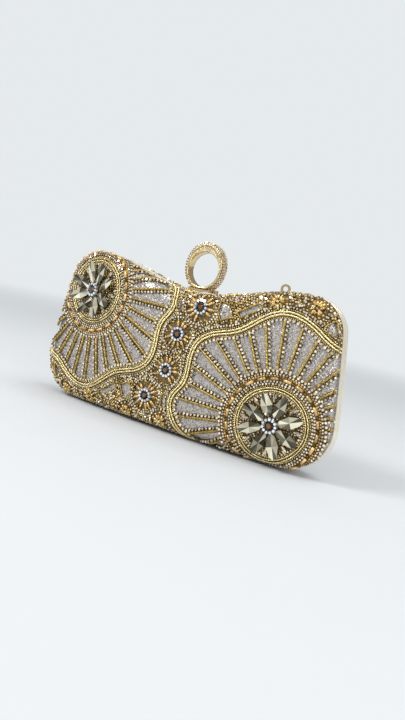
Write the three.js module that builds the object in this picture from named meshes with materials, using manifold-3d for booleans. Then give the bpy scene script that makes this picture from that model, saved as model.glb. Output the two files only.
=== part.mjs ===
// Evening bag: a hard box clutch with a wavy top edge, built round two brass frame halves that
// meet on the plane y = 0. Each half carries a moulded shell, an embroidered cover and a lining.
// The halves turn on two small hinges at the base, and a finger ring on a sprung lever closes the top.
// Millimetres. +Z is up, the front faces -Y, and +X is to the right as seen from the front.
// The origin lies on the ground plane, under the middle of the closed bag.

import * as THREE from 'three';
import { mergeVertices } from 'three/addons/utils/BufferGeometryUtils.js';
import Module from 'manifold-3d';

const wasm = await Module();
wasm.setup();

// ---- outline of the brass frame, seen from the front
const frameWidth = 200;        // at the base, where the bag is widest
const frameHeight = 93;        // base to the crest of either shoulder
const topNarrowing = 13;       // each side stands this much further in at the crest
const waistDip = 12.5;           // fall of the top edge from the shoulders to the clasp
const shoulderStation = 81.5;  // crest of a shoulder from the centre line, before the narrowing
const baseCorner = 28;
const shoulderCorner = 17;

// ---- section of one half, measured from the split plane
const splitGap = 0.25;         // half of the slit between the closed frames
const bandDepth = 4.3;         // outer edge of the frame's visible band
const bandWall = 1.0;
const webWall = 1.0;
const innerLeg = 0.8;
const faceCrown = 17.3;        // fabric surface in the middle of a face
const faceSideFall = 10.7;     // fall of the face towards its left and right ends
const faceTopFall = 1.1;       // fall of the face towards its top and base
const edgeRound = 9;           // width of the rounding between side wall and face
const edgeFullness = 2.8;      // 2 is a round edge, and more is squarer
const squareWall = 0.45;       // share of a side wall's depth that is square to the split plane
const fabricInset = 0.4;       // fabric surface, in from the frame's outer face
const beadPile = 1.6;          // height of the embroidery on the fabric
const clothBacking = 0.7;      // fabric and glue under the embroidery
const shellWall = 1.4;
const liningWall = 0.6;
const slip = 0.3;              // gap between pieces that lie on each other

// ---- base hinges
const hingeStation = 45;       // middle of a hinge from the centre line
const hingeLength = 16;
const knuckleRadius = 1.2;     // also the height of the frame over the ground
const hingePinRadius = 0.5;
const leafWall = 0.7;
const rivetShank = 0.6;
const rivetHead = 1.3;
const rivetHeadHeight = 0.5;

// ---- ring clasp
const ringBore = 10;           // radius of the finger hole
const ringSideWall = 1.9;      // the ring is thinnest at its sides
const ringFootWall = 2.4;
const ringCrestWall = 5.4;
const ringBreadth = 7;
const ringSetForward = 0.9;    // middle of the ring's foot from the split plane
const ringSunk = 1.2;          // cut off the foot to give it a flat seat
const leverBreadth = 13.4;
const leverWall = 1.0;
const cheekWall = 0.6;
const cheekHeight = 1.5;
const lipBreadth = 6;
const lipDrop = 0.6;           // the lip hangs in front of the catch stud, clear of its top
const leverLift = 1.7;         // clears the embroidery at the rear edge of the frame
const leverReach = bandDepth - 0.1;  // front edge of the lever from the split plane
const claspAxisDepth = 4.1;    // pin of the lever, behind the split plane
const claspPinRadius = 0.5;
const claspBarrel = 1.1;
const earWall = 1.0;
const springSeat = 4.4;        // the lever's barrel is open over this length
const springWire = 0.2;
const springTurns = 4;
const lugStation = 58;         // chain lug from the centre line, before the narrowing
const lugRadius = 2.8;
const lugBore = 1.6;
const lugWall = 1.1;

// ---- set stones, placed on a face by their distance from its centre
const medallionStation = { x: 65.8, z: 23.6 };
const medallionReach = 16;
const medallionPetals = 8;
const medallionHeight = 3.4;
const flowerStations = [{ x: 11.6, z: 28.4 }, { x: 1.2, z: 10.8 }];
const flowerRadius = 3.9;
const flowerHeight = 2.4;

// ---- values that follow
const halfWidth = frameWidth / 2;
const ground = knuckleRadius;                     // height of the frame's base
const hingeAxis = knuckleRadius;
const faceCentre = ground + (frameHeight - waistDip / 4) / 2;
const channelDepth = splitGap + webWall + slip;   // the shell's rim starts here
const coverRim = bandDepth + slip;
const coverOuter = -beadPile;                     // offsets inwards from the fabric surface
const coverInner = clothBacking;
const shellOuter = coverInner + slip;
const shellInner = shellOuter + shellWall;
const liningOuter = shellInner + slip;
const liningInner = liningOuter + liningWall;
const legOuter = fabricInset + shellInner + slip + 0.1;
const legInner = legOuter + innerLeg;

// ---- solids and booleans
function solidFrom(geometry) {
  const bare = geometry.clone();
  bare.deleteAttribute('normal');
  bare.deleteAttribute('uv');
  const merged = mergeVertices(bare, 1e-4);
  return new wasm.Manifold(new wasm.Mesh({
    numProp: 3,
    vertProperties: merged.attributes.position.array,
    triVerts: new Uint32Array(merged.index.array),
  }));
}

function geometryFrom(solid) {
  const mesh = solid.getMesh();
  const geometry = new THREE.BufferGeometry();
  geometry.setAttribute('position', new THREE.BufferAttribute(mesh.vertProperties, 3));
  geometry.setIndex(new THREE.BufferAttribute(mesh.triVerts, 1));
  return geometry;
}

function join(first, ...others) {
  return geometryFrom(others.reduce((sum, next) => sum.add(solidFrom(next)), solidFrom(first)));
}

function cut(first, ...tools) {
  return geometryFrom(tools.reduce((rest, tool) => rest.subtract(solidFrom(tool)), solidFrom(first)));
}

function block(x0, x1, y0, y1, z0, z1) {
  return new THREE.BoxGeometry(x1 - x0, y1 - y0, z1 - z0)
    .translate((x0 + x1) / 2, (y0 + y1) / 2, (z0 + z1) / 2);
}

// A round bar along X.
function barX(radius, x0, x1, y, z, sides = 16) {
  return new THREE.CylinderGeometry(radius, radius, x1 - x0, sides)
    .rotateZ(Math.PI / 2)
    .translate((x0 + x1) / 2, y, z);
}

// A round bar along Z.
function barZ(radius, x, y, z0, z1, sides = 12) {
  return new THREE.CylinderGeometry(radius, radius, z1 - z0, sides)
    .rotateX(Math.PI / 2)
    .translate(x, y, (z0 + z1) / 2);
}

// Skins a row of rings. A ring of one point is a pole, and a looped row joins its ends.
// Each four-sided patch is split along its shorter diagonal, so that neighbouring layers match.
function skin(rings, looped) {
  const points = rings.flat();
  const starts = rings.map((_, k) => rings.slice(0, k).reduce((sum, ring) => sum + ring.length, 0));
  const faces = [];
  const spans = looped ? rings.length : rings.length - 1;
  for (let k = 0; k < spans; k++) {
    const next = (k + 1) % rings.length;
    const count = Math.max(rings[k].length, rings[next].length);
    for (let i = 0; i < count; i++) {
      const j = (i + 1) % count;
      const [a, b] = rings[k].length > 1 ? [starts[k] + i, starts[k] + j] : [starts[k], null];
      const [c, d] = rings[next].length > 1 ? [starts[next] + i, starts[next] + j] : [starts[next], null];
      if (b === null) faces.push(a, d, c);
      else if (d === null) faces.push(a, b, c);
      else if (points[a].distanceTo(points[d]) < points[b].distanceTo(points[c])) {
        faces.push(a, b, d, a, d, c);
      } else faces.push(a, b, c, b, d, c);
    }
  }
  const geometry = new THREE.BufferGeometry().setFromPoints(points);
  geometry.setIndex(faces);
  return geometry;
}

// ---- the outline and the faces
function topRise(station) {
  const share = Math.min(Math.abs(station) / shoulderStation, 1);
  return frameHeight - waistDip * (1 + Math.cos(Math.PI * share)) / 2;
}

function narrowed(station, height) {
  return station * (1 - topNarrowing / halfWidth * (height / frameHeight) ** 1.3);
}

// Point and slope of the frame's top edge at a station.
function topPoint(station) {
  const step = 0.5;
  const [before, after] = [station - step, station + step].map((s) => (
    new THREE.Vector2(narrowed(s, topRise(s)), ground + topRise(s))));
  return {
    x: narrowed(station, topRise(station)),
    z: ground + topRise(station),
    slope: Math.atan2(after.y - before.y, after.x - before.x),
  };
}

function framePoints() {
  const right = [];
  const baseEnd = halfWidth - baseCorner;
  for (let i = 0; i < 3; i++) right.push([baseEnd * i / 3, 0]);
  for (let i = 0; i <= 5; i++) {
    const turn = Math.PI / 2 * i / 5;
    right.push([baseEnd + baseCorner * Math.sin(turn), baseCorner * (1 - Math.cos(turn))]);
  }
  right.push([halfWidth, (baseCorner + frameHeight - shoulderCorner) / 2]);
  const shoulderReach = halfWidth - shoulderStation;
  for (let i = 0; i <= 5; i++) {
    const turn = Math.PI / 2 * i / 5;
    right.push([
      shoulderStation + shoulderReach * Math.cos(turn),
      frameHeight - shoulderCorner * (1 - Math.sin(turn)),
    ]);
  }
  for (let i = 1; i <= 6; i++) {
    const station = shoulderStation * (1 - i / 6);
    right.push([station, topRise(station)]);
  }
  const left = right.slice(1, -1).reverse().map(([x, z]) => [-x, z]);
  return [...right, ...left].map(([x, z]) => new THREE.Vector2(narrowed(x, z), ground + z));
}

const frameOutline = framePoints();

// The outline drawn in by a distance, point for point.
function outline(inset) {
  return frameOutline.map((point, i) => {
    const before = frameOutline.at(i - 1);
    const after = frameOutline[(i + 1) % frameOutline.length];
    const along = after.clone().sub(before).normalize();
    return new THREE.Vector2(point.x - along.y * inset, point.y + along.x * inset);
  });
}

function faceDepth(x, z) {
  const fromMiddle = (z - faceCentre) / (frameHeight / 2);
  return faceCrown - faceSideFall * (x / halfWidth) ** 2 - faceTopFall * fromMiddle ** 2;
}

// Outward direction of the front face.
function faceNormal(x, z) {
  const acrossX = 2 * faceSideFall * x / halfWidth ** 2;
  const acrossZ = 2 * faceTopFall * (z - faceCentre) / (frameHeight / 2) ** 2;
  return new THREE.Vector3(acrossX, -1, acrossZ).normalize();
}

function ringAt(inset, depth) {
  return outline(inset).map((p) => new THREE.Vector3(p.x, -depth, p.y));
}

// Rings of a domed surface that lies `offset` inside the fabric surface, from its rim to its middle.
// The side wall stands square to the face up to `squareWall` of its depth, and then rounds over.
function domeRings(offset, rimDepth) {
  const rounding = [0.12, 0.35, 0.7, 1].map((share) => (
    { share, full: (1 - (1 - share) ** edgeFullness) ** (1 / edgeFullness) }));
  const section = [{ share: 0, full: 0 }, { share: 0, full: squareWall }, ...rounding];
  const rings = section.map(({ share, full }) => (
    outline(fabricInset + offset + share * edgeRound).map((p) => {
      const depth = coverRim + (faceDepth(p.x, p.y) - offset - coverRim) * full;
      return new THREE.Vector3(p.x, -depth, p.y);
    })));
  const half = rings.at(-1).map((p) => {
    const x = p.x / 2;
    const z = (p.z + faceCentre) / 2;
    return new THREE.Vector3(x, offset - faceDepth(x, z), z);
  });
  const pole = [new THREE.Vector3(0, offset - faceDepth(0, faceCentre), faceCentre)];
  if (rimDepth < coverRim) rings.unshift(ringAt(fabricInset + offset, rimDepth));
  return [...rings, half, pole];
}

// A closed layer between two domed surfaces.
function layer(outer, inner, rimDepth) {
  return skin([...domeRings(inner, rimDepth).reverse(), ...domeRings(outer, rimDepth)], false);
}

// The frame is a channel, open away from the split plane, that takes the shell's rim.
function frameChannel() {
  const corners = [
    [0, splitGap],
    [0, bandDepth],
    [bandWall, bandDepth],
    [bandWall, splitGap + webWall],
    [legOuter, splitGap + webWall],
    [legOuter, bandDepth],
    [legInner, bandDepth],
    [legInner, splitGap],
  ];
  return skin(corners.map(([inset, depth]) => ringAt(inset, depth)), true);
}

// ---- base hinges: each leaf runs up from its knuckles and lies on the frame's inner leg
const leafFloor = ground + legInner + slip;
const rivetDepth = (splitGap + bandDepth) / 2;
const hinges = [{ side: 'left', x: -hingeStation }, { side: 'right', x: hingeStation }];

function hingeNotch(x) {
  const clear = slip + 0.1;
  const reach = knuckleRadius + clear;
  return block(
    x - hingeLength / 2 - clear, x + hingeLength / 2 + clear,
    -reach, reach, ground - 1, leafFloor + 0.1,
  );
}

// Knuckles from x0 to x1 with the bore of the pin, on the front side of the split plane.
function knuckle(x0, x1) {
  const tail = block(x0, x1, -splitGap - leafWall, -splitGap, hingeAxis, leafFloor + leafWall);
  return join(barX(knuckleRadius, x0, x1, 0, hingeAxis), tail);
}

function hingeLeaf(x, spans) {
  const foot = block(
    x - hingeLength / 2, x + hingeLength / 2,
    -bandDepth, -splitGap, leafFloor, leafFloor + leafWall,
  );
  const whole = join(foot, ...spans.map(([x0, x1]) => knuckle(x0, x1)));
  const bore = barX(hingePinRadius + slip, x - hingeLength, x + hingeLength, 0, hingeAxis);
  return cut(whole, bore, barZ(rivetShank + slip, x, -rivetDepth, leafFloor - 1, leafFloor + 2));
}

// A headed peg that is peened flush at z0 and grips what lies below z1.
function rivet(x, y, z0, z1) {
  return join(
    barZ(rivetShank, x, y, z0, z1 + slip + rivetHeadHeight),
    barZ(rivetHead, x, y, z1 + slip, z1 + slip + rivetHeadHeight),
  );
}

// ---- ring clasp
const claspTop = topPoint(0).z;
const leverFloor = claspTop + leverLift;
const claspAxis = leverFloor + claspBarrel;
const ringFloor = leverFloor + leverWall + slip;
const earStation = leverBreadth / 2 + slip + 0.2;
const earFootEnd = earStation + 4.6;
const earFloor = topPoint(earFootEnd * 1.15).z + slip;
const earFootWall = 0.6;
const earRivetStation = (earStation + earWall + earFootEnd) / 2;
const earRivetFloor = topPoint(earRivetStation).z - bandWall;

function claspLever() {
  const half = leverBreadth / 2;
  const rear = claspAxisDepth;
  const seat = springSeat / 2;
  const plate = block(-half, half, -leverReach, rear, leverFloor, leverFloor + leverWall);
  const cheeks = [-1, 1].map((side) => {
    const x = side * (half - cheekWall / 2);
    return block(
      x - cheekWall / 2, x + cheekWall / 2,
      -leverReach, rear - claspBarrel, leverFloor, leverFloor + cheekHeight,
    );
  });
  const lip = block(
    -lipBreadth / 2, lipBreadth / 2, -leverReach, -leverReach + cheekWall,
    leverFloor - lipDrop, leverFloor + leverWall,
  );
  const whole = join(plate, lip, ...cheeks, barX(claspBarrel, -half, half, rear, claspAxis));
  const bore = barX(claspPinRadius + slip, -half - 1, half + 1, rear, claspAxis);
  const well = block(-seat, seat, rear - claspBarrel - slip, rear + 2, leverFloor - 1, claspAxis + 2);
  return cut(whole, bore, well);
}

// The ring is a flat-footed upright oval with a round bore that sits low, so it is thickest at its crest.
function claspRing() {
  const outerHalfWidth = ringBore + ringSideWall;
  const outerHalfHeight = (2 * ringBore + ringFootWall + ringCrestWall) / 2;
  const bevel = 1.1;
  const edge = ringBreadth / 2;
  const profile = [
    [0, -edge], [outerHalfWidth - bevel, -edge], [outerHalfWidth, bevel - edge],
    [outerHalfWidth, edge - bevel], [outerHalfWidth - bevel, edge], [0, edge],
  ];
  const disc = new THREE.LatheGeometry(profile.map(([r, h]) => new THREE.Vector2(r, h)), 48)
    .scale(1, 1, outerHalfHeight / outerHalfWidth)
    .translate(0, 0, outerHalfHeight);
  const hole = new THREE.CylinderGeometry(ringBore, ringBore, 2 * ringBreadth, 40)
    .translate(0, 0, ringFootWall + ringBore);
  const band = cut(disc, hole).translate(0, -ringSetForward, ringFloor - ringSunk);
  return cut(band, block(-20, 20, -20, 20, ringFloor - 20, ringFloor));
}

function claspEar(side) {
  const inner = side * earStation;
  const outer = side * (earStation + earWall);
  const end = side * earFootEnd;
  const front = splitGap + 0.6;
  const [left, right] = [Math.min(inner, outer), Math.max(inner, outer)];
  const top = claspAxis + claspBarrel;
  const plate = block(left, right, front, bandDepth - 0.2, earFloor, top);
  const arm = block(left, right, front, claspAxisDepth + claspBarrel, leverFloor + 0.1, top);
  const foot = block(
    Math.min(inner, end), Math.max(inner, end),
    front, bandDepth - 0.2, earFloor, earFloor + earFootWall,
  );
  const bore = barX(claspPinRadius + slip, -20, 20, claspAxisDepth, claspAxis);
  const hole = barZ(
    rivetShank + slip, side * earRivetStation, rivetDepth, earFloor - 1, earFloor + earFootWall + 1,
  );
  return cut(join(plate, arm, foot), bore, hole);
}

function claspSpring() {
  class Coil extends THREE.Curve {
    getPoint(t) {
      const turn = 2 * Math.PI * springTurns * t;
      const radius = claspPinRadius + slip + springWire;
      const room = springSeat - 4 * springWire - 2 * slip;
      return new THREE.Vector3(
        room * (t - 0.5), claspAxisDepth + radius * Math.cos(turn), claspAxis + radius * Math.sin(turn),
      );
    }
  }
  const wire = new THREE.Shape().absarc(0, 0, springWire, 0, 2 * Math.PI);
  return new THREE.ExtrudeGeometry(wire, {
    steps: springTurns * 12,
    curveSegments: 3,
    extrudePath: new Coil(),
  });
}

function catchStud() {
  const floor = topPoint(2).z + slip;
  const profile = [[0, 0], [1.3, 0], [1.3, 0.2], [0.9, 0.45], [0, 0.5]];
  return new THREE.LatheGeometry(profile.map(([r, h]) => new THREE.Vector2(r, h)), 16)
    .rotateX(Math.PI / 2)
    .translate(0, -(splitGap + bandDepth) / 2, floor);
}

// A flat eye on a foot, with a stem that goes down through the frame's band.
function chainLug() {
  const eye = new THREE.Shape().absarc(0, lugBore + 0.9, lugRadius, 0, 2 * Math.PI);
  eye.holes.push(new THREE.Path().absarc(0, lugBore + 0.9, lugBore, 0, 2 * Math.PI, true));
  const plate = new THREE.ExtrudeGeometry(eye, {
    depth: lugWall, curveSegments: 12, bevelEnabled: false,
  });
  plate.rotateX(Math.PI / 2).translate(0, lugWall / 2, 0);
  const trimmed = cut(plate, block(-5, 5, -5, 5, -5, 0));
  const foot = block(-2.6, 2.6, -1.3, 1.3, 0, 0.7);
  return join(trimmed, foot, barZ(rivetShank, 0, 0, -bandWall - slip, 0.1));
}

function lugPlace() {
  const seat = topPoint(lugStation);
  return {
    turn: -seat.slope,
    at: new THREE.Vector3(
      seat.x - Math.sin(seat.slope) * slip, rivetDepth, seat.z + Math.cos(seat.slope) * slip,
    ),
  };
}

const lugSeat = lugPlace();

function lugHole({ at, turn }) {
  return barZ(rivetShank + slip, 0, 0, -4, 4)
    .rotateY(turn)
    .translate(at.x, at.y, at.z);
}

// ---- set stones
function medallion() {
  const shape = new THREE.Shape();
  const waist = medallionReach * 0.38;
  const step = Math.PI / medallionPetals;
  shape.moveTo(waist, 0);
  for (let i = 0; i < medallionPetals; i++) {
    const middle = (2 * i + 1) * step;
    const end = (2 * i + 2) * step;
    const bulge = medallionReach * 0.72;
    const spread = step * 0.62;
    const tip = [medallionReach * Math.cos(middle), medallionReach * Math.sin(middle)];
    shape.quadraticCurveTo(bulge * Math.cos(middle - spread), bulge * Math.sin(middle - spread), ...tip);
    shape.quadraticCurveTo(
      bulge * Math.cos(middle + spread), bulge * Math.sin(middle + spread),
      waist * Math.cos(end), waist * Math.sin(end),
    );
  }
  return new THREE.ExtrudeGeometry(shape, {
    depth: medallionHeight, curveSegments: 2, bevelEnabled: false,
  });
}

function stoneFlower() {
  return new THREE.CylinderGeometry(flowerRadius * 0.8, flowerRadius, flowerHeight, 12)
    .rotateX(Math.PI / 2)
    .translate(0, 0, flowerHeight / 2);
}

// Turns a piece made on +Z to stand on the front face.
function standOnFace(mesh, x, z) {
  const normal = faceNormal(x, z);
  mesh.quaternion.setFromUnitVectors(new THREE.Vector3(0, 0, 1), normal);
  mesh.position.set(x, -faceDepth(x, z), z).addScaledVector(normal, beadPile + slip + 0.1);
}

// ---- materials
function finish(color, roughness, metalness) {
  return new THREE.MeshStandardMaterial({ color, roughness, metalness });
}

const paleGold = finish(0xe6cf9c, 0.28, 1);
const steel = finish(0xb8b8b4, 0.35, 1);
const shellBoard = finish(0x4a4038, 0.8, 0);
const silverCloth = finish(0xb9b4b2, 0.55, 0.3);
const satin = finish(0xd9c7a0, 0.6, 0);
const crystal = finish(0xc9c6b4, 0.1, 0.2);

// ---- assembly
const bag = new THREE.Group();
const rearHalf = new THREE.Group();
rearHalf.rotation.z = Math.PI;   // the rear half is the front half turned round
bag.add(rearHalf);

function place(name, geometry, material, home = bag) {
  const mesh = new THREE.Mesh(geometry, material);
  mesh.name = name;
  home.add(mesh);
  return mesh;
}

const earRivetHoles = [-1, 1].map((side) => (
  barZ(rivetShank + slip, side * earRivetStation, rivetDepth, claspTop - bandWall - 1, claspTop + 4)));

for (const [half, home] of [['front', bag], ['rear', rearHalf]]) {
  const leafHoles = hinges.map(({ x }) => (
    barZ(rivetShank + slip, x, -rivetDepth, leafFloor - slip - innerLeg - 0.5, leafFloor)));
  let frame = cut(frameChannel(), ...hinges.map(({ x }) => hingeNotch(x)), ...leafHoles);
  if (half === 'rear') {
    const holes = [...earRivetHoles, lugHole(lugSeat)].map((hole) => hole.rotateZ(Math.PI));
    frame = cut(frame, ...holes);
  }
  place(`${half}_frame`, frame, paleGold, home);
  place(`${half}_shell`, layer(shellOuter, shellInner, channelDepth), shellBoard, home);
  place(`${half}_cover`, layer(coverOuter, coverInner, coverRim), silverCloth, home);
  place(`${half}_lining`, layer(liningOuter, liningInner, coverRim), satin, home);

  for (const { side, x } of hinges) {
    const seenSide = half === 'rear' ? { left: 'right', right: 'left' }[side] : side;
    const [start, end] = [x - hingeLength / 2, x + hingeLength / 2];
    const third = hingeLength / 3;
    const outerSpans = [[start, start + third - slip / 2], [end - third + slip / 2, end]];
    const innerSpan = [[start + third + slip / 2, end - third - slip / 2]];
    const leaf = hingeLeaf(x, half === 'rear' ? outerSpans : innerSpan);
    place(`${half}_hinge_leaf_${seenSide}`, leaf, steel, home);
    const grip = rivet(x, -rivetDepth, leafFloor - slip - innerLeg, leafFloor + leafWall);
    place(`${half}_hinge_rivet_${seenSide}`, grip, steel, home);
  }

  for (const side of [-1, 1]) {
    const x = side * medallionStation.x;
    const z = faceCentre - side * medallionStation.z;
    const label = side < 0 ? 'upper' : 'lower';
    standOnFace(place(`${half}_${label}_medallion`, medallion(), crystal, home), x, z);
  }

  const stations = flowerStations.flatMap((s) => [s, { x: -s.x, z: -s.z }]).sort((a, b) => b.z - a.z);
  stations.forEach(({ x, z }, i) => {
    standOnFace(place(`${half}_stone_flower_${i + 1}`, stoneFlower(), crystal, home), x, faceCentre + z);
  });
}

for (const { side, x } of hinges) {
  const pin = barX(hingePinRadius, x - hingeLength / 2 + 0.2, x + hingeLength / 2 - 0.2, 0, hingeAxis, 10);
  place(`hinge_pin_${side}`, pin, steel);
}

const lug = place('chain_lug', chainLug(), paleGold);
lug.position.copy(lugSeat.at);
lug.rotation.y = lugSeat.turn;

for (const [label, side] of [['left', -1], ['right', 1]]) {
  place(`clasp_ear_${label}`, claspEar(side), paleGold);
  const grip = rivet(side * earRivetStation, rivetDepth, earRivetFloor, earFloor + earFootWall);
  place(`clasp_ear_rivet_${label}`, grip, paleGold);
}

const pinEnd = earStation + earWall + 0.3;
place('clasp_pin', barX(claspPinRadius, -pinEnd, pinEnd, claspAxisDepth, claspAxis, 10), steel);
place('clasp_spring', claspSpring(), steel);
place('catch_stud', catchStud(), paleGold);
place('clasp_lever', claspLever(), paleGold);
place('clasp_ring', claspRing(), paleGold);

export default bag;
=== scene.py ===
import math
import random

import bmesh
import bpy
import numpy as np
from mathutils import Matrix, Vector


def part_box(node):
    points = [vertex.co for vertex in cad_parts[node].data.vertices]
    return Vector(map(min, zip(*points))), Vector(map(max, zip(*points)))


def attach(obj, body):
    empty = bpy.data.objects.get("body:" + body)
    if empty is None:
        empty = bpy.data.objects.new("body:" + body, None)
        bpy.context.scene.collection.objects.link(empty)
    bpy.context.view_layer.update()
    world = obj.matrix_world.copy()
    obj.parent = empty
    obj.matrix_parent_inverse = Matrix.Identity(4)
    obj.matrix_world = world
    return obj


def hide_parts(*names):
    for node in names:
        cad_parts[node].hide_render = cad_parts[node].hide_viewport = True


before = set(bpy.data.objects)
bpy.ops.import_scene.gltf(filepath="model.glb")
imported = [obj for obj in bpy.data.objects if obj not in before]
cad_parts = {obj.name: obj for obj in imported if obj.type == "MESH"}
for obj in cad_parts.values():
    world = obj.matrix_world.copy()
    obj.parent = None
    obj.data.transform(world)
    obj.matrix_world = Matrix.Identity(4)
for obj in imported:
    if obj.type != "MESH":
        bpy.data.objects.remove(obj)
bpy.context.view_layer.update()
dice = random.Random(7)
mm = 0.001
halves = ("front", "rear")
print("frame loaded")

# the bag's form in millimetres, as the solids have it
bagForm = {
    "width": 200, "height": 93, "narrowing": 13, "dip": 12.5, "shoulder": 81.5,
    "baseCorner": 28, "shoulderCorner": 17, "ground": 1.2,
    "crown": 17.3, "sideFall": 10.7, "topFall": 1.1,
    "edgeRound": 9, "fullness": 2.8, "clothInset": 0.4, "rim": 4.6,
}
middle = bagForm["ground"] + (bagForm["height"] - bagForm["dip"] / 4) / 2   # height of a face's centre


def outlineLoop(count):
    f = bagForm
    half, base = f["width"] / 2, f["width"] / 2 - f["baseCorner"]
    turn = np.linspace(0, math.pi / 2, 60)
    across = np.linspace(f["shoulder"], -f["shoulder"], 240)
    rise = f["height"] - f["dip"] * (1 + np.cos(np.pi * np.abs(across) / f["shoulder"])) / 2
    low = f["height"] - f["shoulderCorner"]
    right = np.concatenate([
        np.stack([np.linspace(0, base, 30), np.zeros(30)], 1),
        np.stack([base + f["baseCorner"] * np.sin(turn), f["baseCorner"] * (1 - np.cos(turn))], 1)[1:],
        np.stack([np.full(20, half), np.linspace(f["baseCorner"], low, 20)], 1)[1:],
        np.stack([f["shoulder"] + (half - f["shoulder"]) * np.cos(turn),
                  low + f["shoulderCorner"] * np.sin(turn)], 1)[1:],
    ])
    left = right[:0:-1] * [-1, 1]
    loop = np.concatenate([right, np.stack([across, rise], 1)[1:-1], left])
    loop[:, 0] *= 1 - f["narrowing"] / half * (loop[:, 1] / f["height"]) ** 1.3
    loop[:, 1] += f["ground"]
    closed = np.concatenate([loop, loop[:1]])
    along = np.concatenate([[0], np.cumsum(np.linalg.norm(np.diff(closed, axis=0), axis=1))])
    at = np.linspace(0, along[-1], count, endpoint=False)
    return np.stack([np.interp(at, along, closed[:, 0]), np.interp(at, along, closed[:, 1])], 1)


def inwardOf(loop):
    step = np.roll(loop, -1, 0) - np.roll(loop, 1, 0)
    step /= np.linalg.norm(step, axis=1)[:, None]
    return np.stack([-step[:, 1], step[:, 0]], 1)


fineLoop = outlineLoop(1800)
fineInward = inwardOf(fineLoop)
wallShare = np.append(1 - np.linspace(0, 1, 40)[:-1] ** 2.2, 0)          # 1 at the face, 0 at the side wall
wallFull = (1 - (1 - wallShare) ** bagForm["fullness"]) ** (1 / bagForm["fullness"])


def faceDepth(x, z):
    f = bagForm
    sideways, upwards = x / (f["width"] / 2), (z - middle) / (f["height"] / 2)
    return f["crown"] - f["sideFall"] * sideways ** 2 - f["topFall"] * upwards ** 2


def wallWalk(drop):
    section = np.stack([wallShare * bagForm["edgeRound"], wallFull * drop], 1)
    return section, np.concatenate([[0], np.cumsum(np.linalg.norm(np.diff(section, axis=0), axis=1))])


# puts flat pattern points on the front cover: the pattern is bent over the edge rounding like cloth
def onShell(q, lift):
    f = bagForm
    q = np.atleast_2d(np.asarray(q, float))
    near = np.concatenate([((fineLoop[None] - part[:, None]) ** 2).sum(2).argmin(1)
                           for part in np.array_split(q, len(q) // 400 + 1)])
    foot, inward = fineLoop[near], fineInward[near]
    inset = ((q - foot) * inward).sum(1) - f["clothInset"]
    edge = foot + inward * (f["clothInset"] + f["edgeRound"])
    drop = faceDepth(edge[:, 0], edge[:, 1]) - f["rim"]
    past = f["edgeRound"] - inset
    points, normals, good = np.zeros((len(q), 3)), np.zeros((len(q), 3)), np.ones(len(q), bool)
    for i, (x, z) in enumerate(q):
        if past[i] <= 0:
            normals[i] = [2 * f["sideFall"] * x / (f["width"] / 2) ** 2, -1,
                          2 * f["topFall"] * (z - middle) / (f["height"] / 2) ** 2]
            points[i] = [x, -faceDepth(x, z), z]
            continue
        section, walk = wallWalk(drop[i])
        good[i] = past[i] < walk[-1] - 0.5
        at = min(past[i], walk[-1])
        k = min(max(int(np.searchsorted(walk, at)), 1), len(walk) - 1)
        t = (at - walk[k - 1]) / (walk[k] - walk[k - 1] + 1e-9)
        spot = section[k - 1] * (1 - t) + section[k] * t
        run = section[min(k + 1, len(walk) - 1)] - section[max(k - 2, 0)]
        flat = foot[i] + inward[i] * (f["clothInset"] + spot[0])
        points[i] = [flat[0], -(f["rim"] + spot[1]), flat[1]]
        normals[i] = [inward[i][0] * run[1], run[0], inward[i][1] * run[1]]
    normals /= np.linalg.norm(normals, axis=1)[:, None]
    return points + normals * np.reshape(lift, (-1, 1)), normals, good


# materials
def nodeOf(tree, kind, **values):
    node = tree.nodes.new(kind)
    for key, value in values.items():
        if key in node.inputs:
            node.inputs[key].default_value = value
        else:
            setattr(node, key, value)
    return node


def newFinish(name, **sockets):
    finish = bpy.data.materials.new(name)
    finish.use_nodes = True
    shader = finish.node_tree.nodes["Principled BSDF"]
    for key, value in sockets.items():
        shader.inputs[key].default_value = value
    return finish, finish.node_tree, shader


def shadeBetween(tree, factor, dark, light, low=0.0, high=1.0):
    ramp = tree.nodes.new("ShaderNodeValToRGB")
    ramp.color_ramp.elements[0].position, ramp.color_ramp.elements[1].position = low, high
    ramp.color_ramp.elements[0].color, ramp.color_ramp.elements[1].color = (*dark, 1), (*light, 1)
    tree.links.new(factor, ramp.inputs["Fac"])
    return ramp.outputs["Color"]


def grainOf(tree, scale, detail=3.0, stretch=None):
    coords = tree.nodes.new("ShaderNodeTexCoord").outputs["Object"]
    if stretch:
        mapping = tree.nodes.new("ShaderNodeMapping")
        mapping.inputs["Scale"].default_value = stretch
        tree.links.new(coords, mapping.inputs["Vector"])
        coords = mapping.outputs["Vector"]
    noise = nodeOf(tree, "ShaderNodeTexNoise", Scale=scale, Detail=detail)
    tree.links.new(coords, noise.inputs["Vector"])
    return noise.outputs["Fac"]


def bumpFrom(tree, shader, height, distance, strength=0.5):
    bump = nodeOf(tree, "ShaderNodeBump", Distance=distance, Strength=strength)
    tree.links.new(height, bump.inputs["Height"])
    tree.links.new(bump.outputs["Normal"], shader.inputs["Normal"])


def roughFrom(tree, shader, factor, low, high):
    span = nodeOf(tree, "ShaderNodeMapRange")
    span.inputs["To Min"].default_value, span.inputs["To Max"].default_value = low, high
    tree.links.new(factor, span.inputs["Value"])
    tree.links.new(span.outputs["Result"], shader.inputs["Roughness"])


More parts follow.
